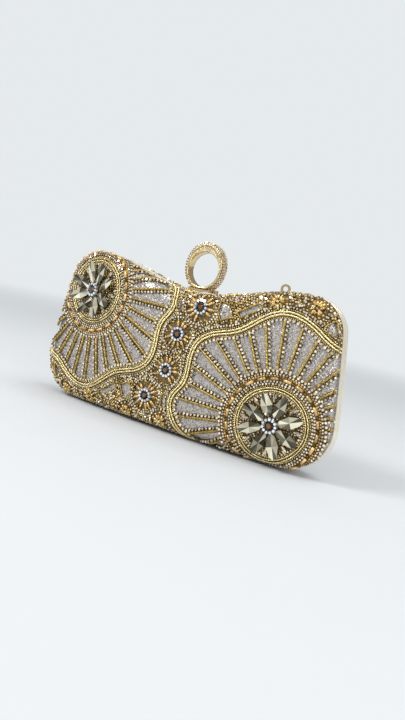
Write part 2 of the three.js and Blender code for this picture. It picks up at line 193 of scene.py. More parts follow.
# metal whose beads or wires differ a little from each other by their tone
def beadMetal(name, dark, light, rough, grain=900, toned=True, metallic=1.0):
    finish, tree, shader = newFinish(name, Metallic=metallic)
    noise = grainOf(tree, grain)
    factor = noise
    if toned:
        tone = nodeOf(tree, "ShaderNodeAttribute", attribute_name="tone").outputs["Fac"]
        mix = nodeOf(tree, "ShaderNodeMath", operation="MULTIPLY_ADD")
        tree.links.new(noise, mix.inputs[0])
        mix.inputs[1].default_value = 0.3
        tree.links.new(tone, mix.inputs[2])
        factor = mix.outputs[0]
    tree.links.new(shadeBetween(tree, factor, dark, light, 0.15, 1.1), shader.inputs["Base Color"])
    roughFrom(tree, shader, noise, rough * 0.75, rough * 1.3)
    bumpFrom(tree, shader, noise, 0.00005, 0.3)
    return finish


# cut stones: each facet has its own painted share of light, a painted glint in place of its sparkle, on top
# of the stone's own tone
def stoneFinish(name, dark, light, metallic, rough):
    sockets = {"Metallic": metallic, "Coat Weight": 0.6, "Coat Roughness": 0.04, "IOR": 1.6}
    finish, tree, shader = newFinish(name, **sockets)
    facet = nodeOf(tree, "ShaderNodeAttribute", attribute_name="facet").outputs["Fac"]
    tone = nodeOf(tree, "ShaderNodeAttribute", attribute_name="tone").outputs["Fac"]
    both = nodeOf(tree, "ShaderNodeMath", operation="MULTIPLY")
    tree.links.new(facet, both.inputs[0])
    tree.links.new(tone, both.inputs[1])
    tree.links.new(shadeBetween(tree, both.outputs[0], dark, light, 0.05, 0.8), shader.inputs["Base Color"])
    roughFrom(tree, shader, grainOf(tree, 700), rough * 0.6, rough * 1.5)
    return finish


# under the beads the cloth is painted dark gold-brown: painted shade for the gaps between the beads
glitterLook = {"grain": 2300, "dark": (0.20, 0.178, 0.155), "light": (0.75, 0.695, 0.655), "tilt": 0.6,
               "underDark": (0.06, 0.038, 0.014), "underLight": (0.40, 0.27, 0.10)}


def glitterFinish(look):
    finish, tree, shader = newFinish("silverGlitterCloth", Metallic=0.75, Roughness=0.33)
    coords = tree.nodes.new("ShaderNodeTexCoord").outputs["Object"]
    flakes = nodeOf(tree, "ShaderNodeTexVoronoi", Scale=look["grain"])
    tree.links.new(coords, flakes.inputs["Vector"])
    parts = tree.nodes.new("ShaderNodeSeparateColor")
    tree.links.new(flakes.outputs["Color"], parts.inputs["Color"])
    bare = nodeOf(tree, "ShaderNodeAttribute", attribute_name="bare").outputs["Fac"]    # 0 under the beads, where the cloth gets the painted shade colours
    blend = nodeOf(tree, "ShaderNodeMix", data_type="RGBA")
    tree.links.new(bare, blend.inputs["Factor"])
    # painted shade under the beads, bare silver glitter elsewhere
    under = shadeBetween(tree, parts.outputs["Red"], look["underDark"], look["underLight"])
    silver = shadeBetween(tree, parts.outputs["Red"], look["dark"], look["light"], 0.0, 0.9)
    tree.links.new(under, blend.inputs[6])
    tree.links.new(silver, blend.inputs[7])
    tree.links.new(blend.outputs[2], shader.inputs["Base Color"])
    lean = nodeOf(tree, "ShaderNodeVectorMath", operation="SUBTRACT")
    tree.links.new(flakes.outputs["Color"], lean.inputs[0])
    lean.inputs[1].default_value = (0.5, 0.5, 0.5)
    scaled = nodeOf(tree, "ShaderNodeVectorMath", operation="SCALE")
    scaled.inputs["Scale"].default_value = look["tilt"]
    tree.links.new(lean.outputs[0], scaled.inputs[0])
    lifted = nodeOf(tree, "ShaderNodeVectorMath", operation="ADD")
    tree.links.new(tree.nodes.new("ShaderNodeNewGeometry").outputs["Normal"], lifted.inputs[0])
    tree.links.new(scaled.outputs[0], lifted.inputs[1])
    unit = nodeOf(tree, "ShaderNodeVectorMath", operation="NORMALIZE")
    tree.links.new(lifted.outputs[0], unit.inputs[0])
    tree.links.new(unit.outputs[0], shader.inputs["Normal"])
    return finish


def satinFinish():
    finish, tree, shader = newFinish("liningSatin", **{"Sheen Weight": 0.5, "Sheen Roughness": 0.4})
    weave = grainOf(tree, 1.0, 2.0, (2600, 400, 400))
    shade = shadeBetween(tree, weave, (0.52, 0.42, 0.27), (0.70, 0.59, 0.41))
    tree.links.new(shade, shader.inputs["Base Color"])
    roughFrom(tree, shader, weave, 0.42, 0.62)
    bumpFrom(tree, shader, weave, 0.0001, 0.4)
    return finish


# the shell is coloured near black so that where it shows between cloth and frame it gives painted shade
def boardFinish():
    finish, tree, shader = newFinish("mouldedBoard")
    speck = grainOf(tree, 900)
    shade = shadeBetween(tree, speck, (0.035, 0.03, 0.026), (0.075, 0.064, 0.055))
    tree.links.new(shade, shader.inputs["Base Color"])
    roughFrom(tree, shader, speck, 0.7, 0.9)
    bumpFrom(tree, shader, speck, 0.0002)
    return finish


finishes = {
    "glitter": glitterFinish(glitterLook),
    "satin": satinFinish(),
    "board": boardFinish(),
    "paleGold": beadMetal("paleGoldPlate", (0.80, 0.72, 0.57), (0.93, 0.87, 0.74), 0.3, 250, False, 0.5),
    "ringGold": beadMetal("warmGoldPlate", (0.78, 0.58, 0.28), (0.95, 0.76, 0.45), 0.22, 250, toned=False),
    "steel": beadMetal("drawnSteel", (0.45, 0.44, 0.42), (0.66, 0.65, 0.63), 0.32, 400, toned=False),
    "brightGold": beadMetal("brightGoldBead", (0.28, 0.18, 0.045), (0.98, 0.84, 0.46), 0.28),
    "oldGold": beadMetal("antiqueGoldWire", (0.12, 0.076, 0.016), (0.60, 0.44, 0.145), 0.32),
    "crystal": stoneFinish("champagneCrystal", (0.11, 0.066, 0.022), (1.0, 0.86, 0.63), 0.55, 0.1),
    "ice": stoneFinish("iceCrystal", (0.13, 0.145, 0.18), (0.86, 0.91, 0.97), 0.6, 0.1),
    "smoky": stoneFinish("smokyCrystal", (0.045, 0.037, 0.018), (0.95, 0.89, 0.66), 0.72, 0.07),
    "amber": stoneFinish("amberGlass", (0.12, 0.065, 0.012), (0.80, 0.52, 0.17), 0.5, 0.16),
    "peach": stoneFinish("peachGlass", (0.14, 0.08, 0.02), (0.84, 0.54, 0.22), 0.35, 0.18),
    "topaz": stoneFinish("topazStone", (0.02, 0.008, 0.003), (0.17, 0.085, 0.035), 0.4, 0.08),
}
print("finishes made")


# small shapes that are stamped many times, a unit across
def asStamp(bm, name, smooth, facetGlints=None, seed=3, table=True):
    bmesh.ops.recalc_face_normals(bm, faces=bm.faces)
    lots = random.Random(seed)
    share = bm.faces.layers.float.new("facet")
    for face in bm.faces:
        face.smooth = smooth
        # the facet value is painted light: a fixed brightness per face for its glint, with an upward table
        # face the brightest
        face[share] = 0.8 if facetGlints is None else 1.0 if table and face.normal.z > 0.9 else lots.choice(facetGlints)
    bmesh.ops.triangulate(bm, faces=bm.faces)
    mesh = bpy.data.meshes.new(name)
    bm.to_mesh(mesh)
    bm.free()
    mesh.attributes.new("tone", "FLOAT", "POINT")
    return mesh


def seedStamp():
    bm = bmesh.new()
    bmesh.ops.create_icosphere(bm, subdivisions=1, radius=0.5)
    return asStamp(bm, "seedStamp", True)


def gemStamp(sides=6, table=0.7):
    bm = bmesh.new()
    bmesh.ops.create_cone(bm, cap_ends=True, segments=sides, radius1=0.5, radius2=0.5 * table, depth=0.6)
    return asStamp(bm, "gemStamp", False, (0.12, 0.3, 0.55, 0.9))


def rodStamp(name, slant=0.0):
    bm = bmesh.new()
    turn = Matrix.Rotation(math.pi / 2, 4, "Y")
    bmesh.ops.create_cone(bm, cap_ends=True, segments=6, radius1=0.5, radius2=0.5, depth=1.0, matrix=turn)
    for v in bm.verts:
        v.co.x += v.co.y * slant
    return asStamp(bm, name, True)


def roundPlace(face):
    at = face.calc_center_median()
    return -round(at.z, 2), round(math.atan2(at.y, at.x), 3)


def marquiseStamp(name, seed):
    bm = bmesh.new()
    bmesh.ops.create_circle(bm, cap_ends=True, segments=8, radius=0.5)
    girdle = bm.faces[:]
    for v in bm.verts:
        v.co.y = math.copysign(0.5 * (1 - (2 * abs(v.co.x)) ** 2.7), v.co.y) if abs(v.co.y) > 0.01 else 0
    bmesh.ops.inset_region(bm, faces=girdle, thickness=0.09, depth=0.22)
    bmesh.ops.poke(bm, faces=girdle, offset=0.16)
    upper = len(bm.faces)
    low = bmesh.ops.extrude_edge_only(bm, edges=[e for e in bm.edges if e.is_boundary])["geom"]
    bottom = [v for v in low if isinstance(v, bmesh.types.BMVert)]
    for v in bottom:
        v.co.x *= 0.6
        v.co.y *= 0.4
        v.co.z -= 0.3
    bmesh.ops.contextual_create(bm, geom=bottom)
    # an extrusion's faces come in any order, so they are put in order round the stone
    lower = sorted(bm.faces[upper:], key=roundPlace)
    order = {face: i for i, face in enumerate(bm.faces[:upper] + lower)}
    bm.faces.sort(key=lambda face: order[face])
    # the listed facet values run from dark to past full: painted glints and painted dark facets
    return asStamp(bm, name, False, (0.04, 0.12, 0.3, 0.55, 0.8, 1.0, 1.1), seed, False)


stamps = {
    "seed": seedStamp(), "gem": gemStamp(), "bigGem": gemStamp(8, 0.6),
    "rope": rodStamp("ropeStamp", 0.7), "bugle": rodStamp("bugleStamp"),
    "marquise": marquiseStamp("marquiseStamp", 3), "marquiseTwo": marquiseStamp("marquiseTwoStamp", 8),
}
trays = {}


# lays stamps at flat pattern points: size is along, across and up
def lay(tray, stamp, q, size, direction=None, lift=0.0, tone=(0.45, 1.0), jitter=0.0, tilt=0.0, rise=0.0):
    q = np.atleast_2d(np.asarray(q, float))
    if not len(q):
        return
    if direction is None:
        angle = np.array([dice.uniform(0, 2 * math.pi) for _ in q])
        direction = np.stack([np.cos(angle), np.sin(angle)], 1)
    direction = np.broadcast_to(np.asarray(direction, float), q.shape)
    spot, normal, good = onShell(q, lift)
    ahead = onShell(q + direction * 0.5, lift)[0] - spot
    for i in np.flatnonzero(good):
        n = normal[i] + tilt * np.array([dice.uniform(-1, 1) for _ in range(3)])
        n /= np.linalg.norm(n)
        t = ahead[i] - n * np.dot(ahead[i], n)
        t /= np.linalg.norm(t) + 1e-9
        b = np.cross(n, t)
        t, n = t + n * rise, n - t * rise
        grow = 1 + dice.uniform(-jitter, jitter)
        axes = np.stack([t * size[0] * grow, b * size[1] * grow, n * size[2] * grow], 1)
        trays.setdefault((tray, stamp), []).append((spot[i], axes, dice.uniform(*tone)))


def resample(path, pitch, closed=False):
    path = np.asarray(path, float)
    if closed:
        path = np.concatenate([path, path[:1]])
    along = np.concatenate([[0], np.cumsum(np.linalg.norm(np.diff(path, axis=0), axis=1))])
    count = max(2, int(round(along[-1] / pitch)))
    at = np.linspace(0, along[-1], count, endpoint=not closed)
    points = np.stack([np.interp(at, along, path[:, k]) for k in (0, 1)], 1)
    further = np.stack([np.interp(at + 0.1, along, path[:, k]) for k in (0, 1)], 1)
    back = np.stack([np.interp(at - 0.1, along, path[:, k]) for k in (0, 1)], 1)
    run = further - back
    return points, run / (np.linalg.norm(run, axis=1)[:, None] + 1e-9)


def beside(path, distance):
    path = np.asarray(path, float)
    run = np.gradient(path, axis=0)
    run /= np.linalg.norm(run, axis=1)[:, None]
    return path + np.stack([-run[:, 1], run[:, 0]], 1) * distance


def ringPath(centre, radius, count=90):
    turn = np.linspace(0, 2 * math.pi, count, endpoint=False)
    return np.stack([centre[0] + radius * np.cos(turn), centre[1] + radius * np.sin(turn)], 1)


# one row of beadwork along a path
def beadRow(path, kind, closed=False):
    points, run = resample(path, kind["pitch"], closed)
    lift = kind.get("lift", kind["size"][2] * 0.35)
    lay(kind["finish"], kind["stamp"], points, kind["size"], run, lift, kind["tone"], jitter=0.08,
        tilt=kind.get("tilt", 0.0))


rows = {
    "goldRope": {"finish": "brightGold", "stamp": "rope", "size": (0.85, 1.15, 1.2), "pitch": 0.7,
                 "lift": 1.05, "tone": (0.85, 1.1)},
    "fineRope": {"finish": "brightGold", "stamp": "rope", "size": (0.7, 0.8, 1.0), "pitch": 0.5,
                 "lift": 1.0, "tone": (1.0, 1.1)},
    "oldRope": {"finish": "oldGold", "stamp": "rope", "size": (1.0, 1.7, 1.5), "pitch": 0.85,
                "lift": 0.6, "tone": (0.35, 1.0)},
    "thinRope": {"finish": "oldGold", "stamp": "rope", "size": (0.85, 1.05, 1.1), "pitch": 0.72,
                 "lift": 0.7, "tone": (0.3, 0.9)},
    "fineSeeds": {"finish": "brightGold", "stamp": "seed", "size": (1.05, 1.05, 1.1), "pitch": 1.18,
                  "tilt": 0.2, "tone": (0.35, 1.0)},
    "darkSeeds": {"finish": "oldGold", "stamp": "seed", "size": (1.3, 1.3, 1.2), "pitch": 1.35,
                  "tone": (0.0, 0.45)},
    "ambers": {"finish": "amber", "stamp": "seed", "size": (1.45, 1.45, 1.4), "pitch": 1.5,
               "tilt": 0.2, "tone": (0.2, 0.95)},
    "crystals": {"finish": "crystal", "stamp": "gem", "size": (2.1, 2.1, 1.9), "pitch": 2.3,
                 "lift": 0.8, "tilt": 0.25, "tone": (0.55, 1.3)},
    "smallCrystals": {"finish": "crystal", "stamp": "gem", "size": (1.6, 1.6, 1.6), "pitch": 1.75,
                      "lift": 0.7, "tilt": 0.3, "tone": (0.35, 1.3)},
    "rayCrystals": {"finish": "crystal", "stamp": "gem", "size": (1.85, 1.85, 1.8), "pitch": 2.0,
                    "lift": 0.95, "tilt": 0.3, "tone": (0.35, 1.3)},
    # partly real, partly painted: a flat metal setting under each ray crystal, toned near black as painted
    # shade round the crystal
    "raySetting": {"finish": "oldGold", "stamp": "seed", "size": (2.2, 2.5, 1.0), "pitch": 2.0,
                   "lift": 0.2, "tone": (0.0, 0.15)},
    "peachBugles": {"finish": "peach", "stamp": "bugle", "size": (4.1, 1.75, 1.6), "pitch": 7.2,
                    "lift": 0.9, "tone": (0.45, 1.15)},
}
fanForm = {
    "centre": (65.8, middle - 23.6), "openReach": 64, "openCloth": 60,   # where there is no border
    "firstRay": -96, "rayStep": 10.6, "rayStart": 30.2, "rayEndGap": 4.4, "openRayEnd": 52, "rayBeside": 0.85,
    # where the scalloped border turns: angle, and distance from the fan's centre
    "border": [(24, 55), (40, 58), (64, 53), (95, 59.5), (122, 53.2),
               (147, 60.8), (169, 55), (184, 60.5), (214, 49)],
    "borderRows": [(-3.4, "smallCrystals"), (-2.1, "fineSeeds"), (-0.78, "goldRope"), (0.78, "goldRope"),
                   (2.1, "fineSeeds"), (3.4, "crystals")],
}
medallionForm = {
    "rings": [(16.4, "smallCrystals"), (17.4, "fineSeeds"), (18.35, "fineRope"), (19.75, "fineRope"),
              (20.75, "fineSeeds"), (22.0, "smallCrystals"), (23.3, "smallCrystals"), (24.8, "darkSeeds"),
              (26.3, "ambers"), (27.4, "smallCrystals"), (28.9, "crystals")],
    "bugleRing": (24.8, "peachBugles"),
    "petals": 8, "petalFrom": 4.2, "petal": (13.9, 6.3, 3.8), "petalRise": 0.24, "petalLift": 2.9,
    "leaf": (4.6, 2.3, 1.8), "leafAt": 14.6, "stoneLift": 4.2,
    "fillPitch": 1.5, "fillFrom": 3.2, "fillTo": 16.2,
    # what fills the ground under the petals: finish, stamp, its share from and to, width, tone
    "fill": [("oldGold", "seed", 0, 0.5, 1.4, (0.0, 0.7)), ("crystal", "gem", 0.5, 0.76, 1.4, (0.1, 1.0)),
             ("smoky", "gem", 0.76, 0.92, 1.5, (0.1, 0.8)), ("amber", "seed", 0.92, 1.01, 1.3, (0.1, 0.8))],
}


def turned(q):
    return np.array([0, 2 * middle]) - np.asarray(q, float)


def borderReach(angle):
    keys = fanForm["border"]
    angle = (angle + 90) % 360 - 90
    if angle < keys[0][0] or angle > keys[-1][0]:
        return None
    for (a0, r0), (a1, r1) in zip(keys, keys[1:]):
        if a0 <= angle <= a1:
            return r0 + (r1 - r0) * (1 - math.cos(math.pi * (angle - a0) / (a1 - a0))) / 2


def aroundFan(angle, reach):
    a = math.radians(angle)
    return [fanForm["centre"][0] + reach * math.cos(a), fanForm["centre"][1] + reach * math.sin(a)]


def fanBorder(side):
    angles = np.arange(fanForm["border"][0][0], fanForm["border"][-1][0], 0.5)
    curve = np.array([aroundFan(a, borderReach(a)) for a in angles])
    for distance, kind in fanForm["borderRows"]:
        beadRow(side(beside(curve, distance)), rows[kind])


def fanRays(side):
    f = fanForm
    for k in range(int(360 / f["rayStep"])):
        angle = f["firstRay"] + k * f["rayStep"]
        reach = borderReach(angle)
        end = reach - f["rayEndGap"] if reach else f["openRayEnd"]
        ray = np.array([aroundFan(angle, r) for r in np.linspace(f["rayStart"], end, 12)])
        beadRow(side(beside(ray, f["rayBeside"])), rows["oldRope"])
        beadRow(side(beside(ray, -f["rayBeside"])), rows["raySetting"])
        beadRow(side(beside(ray, -f["rayBeside"])), rows["rayCrystals"])


def medallionFilling(side):
    m = medallionForm
    for radius in np.arange(m["fillFrom"], m["fillTo"], m["fillPitch"]):
        count = max(6, int(2 * math.pi * radius / m["fillPitch"]))
        spots = ringPath(np.array(fanForm["centre"]), radius, count)
        spots += np.array([[dice.uniform(-0.25, 0.25), dice.uniform(-0.25, 0.25)] for _ in spots])
        picks = [dice.random() for _ in spots]
        for finish, stamp, low, high, width, tone in m["fill"]:
            chosen = [s for s, p in zip(spots, picks) if low <= p < high]
            if chosen:
                lay(finish, stamp, side(chosen), (width,) * 3, lift=0.5, tilt=0.35, jitter=0.15, tone=tone)


def medallionWork(side):
    m, centre = medallionForm, np.array(fanForm["centre"])
    for radius, kind in m["rings"] + [m["bugleRing"]]:
        beadRow(side(ringPath(centre, radius)), rows[kind], closed=True)
    medallionFilling(side)
    step = 2 * math.pi / m["petals"]
    for k in range(m["petals"]):
        a = (k + 0.5) * step + dice.uniform(-0.07, 0.07)
        out = np.array([math.cos(a), math.sin(a)])
        spot = centre + out * (m["petalFrom"] + m["petal"][0] / 2)
        run = side(spot + out) - side(spot)
        lay("smoky", "marquiseTwo" if k % 2 else "marquise", [side(spot)], m["petal"], [run],
            m["petalLift"], (0.75, 1.2), 0.06, 0.14, m["petalRise"])
        between = np.array([math.cos(a + step / 2), math.sin(a + step / 2)])
        run = side(centre + between) - side(centre)
        lay("crystal", "marquise", [side(centre + between * m["leafAt"])], m["leaf"], [run],
            1.4, (0.5, 1.0), 0.1, 0.2)
    stoneFlower(side(centre), m["stoneLift"])


stoneForm = {"stone": (4.2, 4.2, 2.6), "ring": 3.4, "ringCount": 11, "ringStone": (2.25, 2.25, 2.3),
             "cup": (6.6, 6.6, 1.4), "lift": 1.4}


# a topaz in a ring of crystals
def stoneFlower(centre, height):
    f = stoneForm
    lay("topaz", "bigGem", [centre], f["stone"], lift=height + 0.2, tone=(0.8, 1.0))
    lay("ice", "gem", ringPath(centre, f["ring"], f["ringCount"]), f["ringStone"], lift=height,
        tone=(0.9, 1.3), tilt=0.2)
    lay("oldGold", "bigGem", [centre], f["cup"], lift=max(height - 1.0, 0.3), tone=(0.0, 0.1))


flowerForm = {"spots": [(11.6, 28.4), (1.2, 10.8)], "bugles": 14, "from": 4.6, "long": 2.7,
              "beadRing": 8.6, "beads": 21, "edge": 9.7, "clear": 10.4}


def ringedFlower(centre):
    f = flowerForm
    stoneFlower(centre, stoneForm["lift"])
    for k in range(f["bugles"]):
        a = 2 * math.pi * (k + dice.uniform(-0.2, 0.2)) / f["bugles"]
        out = np.array([math.cos(a), math.sin(a)])
        tip = f["from"] + f["long"] * dice.uniform(0.75, 1.1)
        if dice.random() < 0.8:
            finish = dice.choice(("amber", "peach", "peach"))
            lay(finish, "bugle", [centre + out * (f["from"] + tip) / 2], (tip - f["from"], 1.5, 1.4), [out],
                0.8, (0.5, 1.2), 0.08, 0.15)
        lay("brightGold", "seed", [centre + out * (tip + 0.7)], (1.3, 1.3, 1.3), lift=0.6)
    for k in range(f["beads"]):
        a = 2 * math.pi * k / f["beads"]
        finish = ("amber", "crystal", "oldGold")[k % 3]
        spot = centre + f["beadRing"] * np.array([math.cos(a), math.sin(a)])
        lay(finish, "gem" if finish == "crystal" else "seed", [spot], (1.4, 1.4, 1.4),
            lift=0.5, tilt=0.3, tone=(0.2, 1.0))
    beadRow(ringPath(centre, f["edge"]), rows["smallCrystals"], closed=True)


amberForm = {"spots": [(54, 40.5), (75, 41.5), (24, 41.5), (-1, 40.5)], "bugles": 11, "bugleAt": (2.3, 3.0),
             "bugleLong": (1.8, 2.9), "beadAt": (4.6, 5.4), "edge": 6.7, "clear": 7.4}


def amberFlower(centre):
    f = amberForm
    lay("brightGold", "bigGem", [centre], (2.2, 2.2, 2.0), lift=1.2)
    for k in range(2 * f["bugles"]):
        a = 2 * math.pi * (k + dice.uniform(-0.3, 0.3)) / f["bugles"]
        out = np.array([math.cos(a), math.sin(a)])
        finish = dice.choice(("amber", "amber", "peach", "brightGold"))
        if k < f["bugles"]:
            spot = centre + out * dice.uniform(*f["bugleAt"])
            lay(finish, "bugle" if finish != "brightGold" else "rope", [spot],
                (dice.uniform(*f["bugleLong"]), 1.4, 1.4), [out], 0.9, (0.5, 1.2), 0.1, 0.2)
        else:
            lay(finish, "seed", [centre + out * dice.uniform(*f["beadAt"])], (1.5, 1.5, 1.5),
                lift=0.7, tone=(0.3, 1.1))
    beadRow(ringPath(centre, f["edge"]), rows["smallCrystals"], closed=True)


groundForm = {
    "pitch": 1.62, "jitter": 0.3, "borderGap": 4.3,
    # which bead goes in a place: its share up to, and its finish
    "mix": [(0.36, "crystal"), (0.6, "brightGold"), (0.8, "amber"), (1.01, "oldGold")],
    # patches of bare cloth, by their corners
    "bare": [
        [(22.5, 34.1), (27.7, 33.5), (31.2, 27.0), (24.8, 23.9), (22.3, 28.4)],
        [(33.3, 30.2), (45.7, 38.4), (47.1, 35.4), (35.9, 27.5)],
        [(82.3, 34.3), (86.2, 37.4), (90.0, 27.8), (80.9, 31.9)],
        [(0.9, 25.1), (-2.9, 22.9), (-5.1, 31.7), (0.3, 32.1)],
    ],
}


def insidePatch(q, patch):
    hits = 0
    for (x0, z0), (x1, z1) in zip(patch, patch[1:] + patch[:1]):
        if (z0 > q[1]) != (z1 > q[1]) and q[0] < x0 + (q[1] - z0) / (z1 - z0) * (x1 - x0):
            hits += 1
    return hits % 2 == 1


def inFan(q):
    for point in (np.asarray(q), turned(q)):
        away = point - np.array(fanForm["centre"])
        reach = borderReach(math.degrees(math.atan2(away[1], away[0])))
        if reach is None or np.hypot(*away) < reach + groundForm["borderGap"]:
            if np.hypot(*away) < fanForm["openReach"]:
                return True
    return False


def groundWork():
    g = groundForm
    centre = np.array([0, middle])
    ringed = [np.array(s) for s in flowerForm["spots"]]
    ringed += [-s for s in ringed]
    amber = [np.array(s) for s in amberForm["spots"]]
    amber += [-s for s in amber]
    patches = g["bare"] + [[(-x, -z) for x, z in patch] for patch in g["bare"]]
    for s in ringed:
        ringedFlower(centre + s)
    for s in amber:
        amberFlower(centre + s)
    for patch in patches:
        path = np.array([(x, z) for x, z in patch + patch[:1]]) + centre
        beadRow(resample(path, 0.5)[0], rows["thinRope"])
    spots = {"crystal": [], "brightGold": [], "amber": [], "oldGold": []}
    for row in range(-40, 41):
        for column in range(-75, 76):
            x = (column + (row % 2) / 2) * g["pitch"] + dice.uniform(-1, 1) * g["jitter"]
            z = row * g["pitch"] * 0.87 + dice.uniform(-1, 1) * g["jitter"]
            pick = dice.random()
            if inFan((x, z + middle)) or any(insidePatch((x, z), p) for p in patches):
                continue
            if any(math.hypot(x - s[0], z - s[1]) < flowerForm["clear"] for s in ringed):
                continue
            if any(math.hypot(x - s[0], z - s[1]) < amberForm["clear"] for s in amber):
                continue
            finish = next(name for share, name in g["mix"] if pick < share)
            spots[finish].append((x, z + middle))
    for finish, points in spots.items():
        if finish == "crystal":
            lay(finish, "gem", points, (1.85, 1.85, 1.7), lift=0.7, tilt=0.35, jitter=0.15, tone=(0.3, 1.3))
        else:
            lay(finish, "seed", points, (1.5, 1.5, 1.6), lift=0.5, tilt=0.4, jitter=0.15, tone=(0.15, 1.1))


for side in (lambda q: np.asarray(q, float), turned):
    fanBorder(side)
    fanRays(side)
    medallionWork(side)
groundWork()
print("beadwork laid:", sum(len(t) for t in trays.values()))


def turnedMesh(mesh, name):
    rear = mesh.copy()
    rear.name = name
    rear.transform(Matrix.Rotation(math.pi, 4, "Z"))
    return rear


def addPiece(name, mesh, finish, body, nodes=()):
    piece = bpy.data.objects.new(name, mesh)
    bpy.context.scene.collection.objects.link(piece)
    mesh.materials.clear()
    mesh.materials.append(finish)
    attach(piece, body)
    if nodes:
        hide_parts(*nodes)
    return piece


# strings the beads that lie at least some way from the split plane
def strung(tray, stamp, least=0.0):
    base = np.array([v.co for v in stamps[stamp].vertices])
    one = stamps[stamp].copy()
    bm = bmesh.new()
    for spot, axes, tone in trays[(tray, stamp)]:
        if abs(spot[1]) < least:
            continue
        one.vertices.foreach_set("co", ((base @ axes.T + spot) * mm).astype(np.float32).ravel())
        one.attributes["tone"].data.foreach_set("value", np.full(len(base), tone, np.float32))
        bm.from_mesh(one)
    mesh = bpy.data.meshes.new(tray + stamp)
    bm.to_mesh(mesh)
    bm.free()
    return mesh


replacedBy = {("smoky", "marquise"): ["{}_upper_medallion", "{}_lower_medallion"],
              ("topaz", "bigGem"): ["{}_stone_flower_" + str(k) for k in (1, 2, 3, 4)]}
bareWall = {"front": 7.2, "rear": 10.5}        # the cloth is plain from the split plane to this depth
for (tray, stamp) in sorted(trays):
    for half in halves:
        name = half + tray[0].upper() + tray[1:] + stamp[0].upper() + stamp[1:]
        mesh = strung(tray, stamp, bareWall[half])
        if half == "rear":
            mesh.transform(Matrix.Rotation(math.pi, 4, "Z"))
        nodes = [node.format(half) for node in replacedBy.get((tray, stamp), [])]
        addPiece(name, mesh, finishes[tray], half, nodes)
print("beads strung")


# skins rows of rings by extruding one into the next
def loft(rings, looped=False, closeEnd=False):
    bm = bmesh.new()
    here = [bm.verts.new(Vector(p * mm)) for p in rings[0]]
    edges = [bm.edges.new((a, b)) for a, b in zip(here, here[1:] + here[:1])]
    for ring in list(rings[1:]) + ([rings[0]] if looped else []):
        made = bmesh.ops.extrude_edge_only(bm, edges=edges)["geom"]
        fresh = {g for g in made if isinstance(g, bmesh.types.BMVert)}
        here = [next(e.other_vert(v) for e in v.link_edges if e.other_vert(v) in fresh) for v in here]
        for v, p in zip(here, ring):
            v.co = Vector(p * mm)
        edges = [bm.edges.get((a, b)) for a, b in zip(here, here[1:] + here[:1])]
    if closeEnd:
        bmesh.ops.contextual_create(bm, geom=here)
    bmesh.ops.remove_doubles(bm, verts=bm.verts, dist=1e-7)
    bmesh.ops.recalc_face_normals(bm, faces=bm.faces)
    return bm


def asMesh(bm, name, smooth=True):
    mesh = bpy.data.meshes.new(name)
    for face in bm.faces:
        face.smooth = smooth
    bm.to_mesh(mesh)
    bm.free()
    return mesh


# rings of the domed surface that lies some way inside the cloth's surface
def domeRings(offset, count, steps):
    f = bagForm
    loop = outlineLoop(count)
    inward = inwardOf(loop)
    rings = []
    for share, full in [(0, 0)] + list(zip(wallShare[::-3], wallFull[::-3])) + [(1, 1)]:
        flat = loop + inward * (f["clothInset"] + offset + share * f["edgeRound"])
        depth = f["rim"] + (faceDepth(flat[:, 0], flat[:, 1]) - offset - f["rim"]) * full
        rings.append(np.stack([flat[:, 0], -depth, flat[:, 1]], 1))
    last = rings[-1][:, [0, 2]]
    for t in np.linspace(0, 1, steps)[1:-1]:
        flat = last * (1 - t) + np.array([0, middle]) * t
        rings.append(np.stack([flat[:, 0], offset - faceDepth(flat[:, 0], flat[:, 1]), flat[:, 1]], 1))
    return rings


def domeSheet(name, offset, thick, count, steps):
    bm = loft(domeRings(offset, count, steps), closeEnd=True)
    if sum(face.normal.y * face.calc_area() for face in bm.faces) > 0:
        bmesh.ops.reverse_faces(bm, faces=bm.faces)
    bmesh.ops.solidify(bm, geom=bm.faces, thickness=thick * mm)
    return asMesh(bm, name)


# how bare the cloth is at a flat point: the fans' panels and the small patches show, beads hide the rest
def bareShare(q):
    here, opposite = (q[0], q[1] - middle), (-q[0], middle - q[1])
    if any(insidePatch(here, p) or insidePatch(opposite, p) for p in groundForm["bare"]):
        return 1.0
    for point in (np.asarray(q), turned(q)):
        away = point - np.array(fanForm["centre"])
        reach = borderReach(math.degrees(math.atan2(away[1], away[0]))) or fanForm["openCloth"]
        if medallionForm["rings"][-1][0] < np.hypot(*away) < reach - 2.5:
            return 1.0
    return 0.0


clothCut = {"flat": (0.222, 0.118), "share": 0.86, "thick": 0.6}
liningCut = {"flat": (0.208, 0.104), "share": 0.86, "thick": 0.45, "offset": 2.75}
cloth = domeSheet("frontCloth", 0.0, clothCut["thick"], 320, 44)
cloth.attributes.new("bare", "FLOAT", "POINT").data.foreach_set(
    "value", [bareShare((v.co.x / mm, v.co.z / mm)) for v in cloth.vertices])
lining = domeSheet("frontLining", liningCut["offset"], liningCut["thick"], 160, 14)
for half in halves:
    sheets = (("Cloth", cloth, clothCut, "glitter", "glitter_cloth", "_cover"),
              ("Lining", lining, liningCut, "satin", "lining_satin", "_lining"))
    for name, made, cut, finish, slotName, node in sheets:
        mesh = made if half == "front" else turnedMesh(made, half + name)
        if half == "rear" and name == "Cloth":
            for v, share in zip(mesh.vertices, mesh.attributes["bare"].data):
                share.value = 1.0 if v.co.y < bareWall["rear"] * mm else share.value
        piece = addPiece(half + name, mesh, finishes[finish], half, [half + node])
print("cloth and linings cut")

# the frame is a channel: its section is given as inset from the outline, and depth from the split
frameForm = {
    "section": [(0.25, 0.25), (0.06, 0.45), (-0.1, 1.2), (-0.16, 2.3), (-0.1, 3.4), (0.04, 4.1), (0.2, 4.3),
                (1.0, 4.3), (1.0, 1.25), (3.2, 1.25), (3.2, 4.2), (4.0, 4.2), (4.0, 0.25)],
    "notch": (-45, 45), "notchHalf": 8.4, "notchReach": 1.6, "notchTop": 5.6, "notchHigh": 6.5,
}


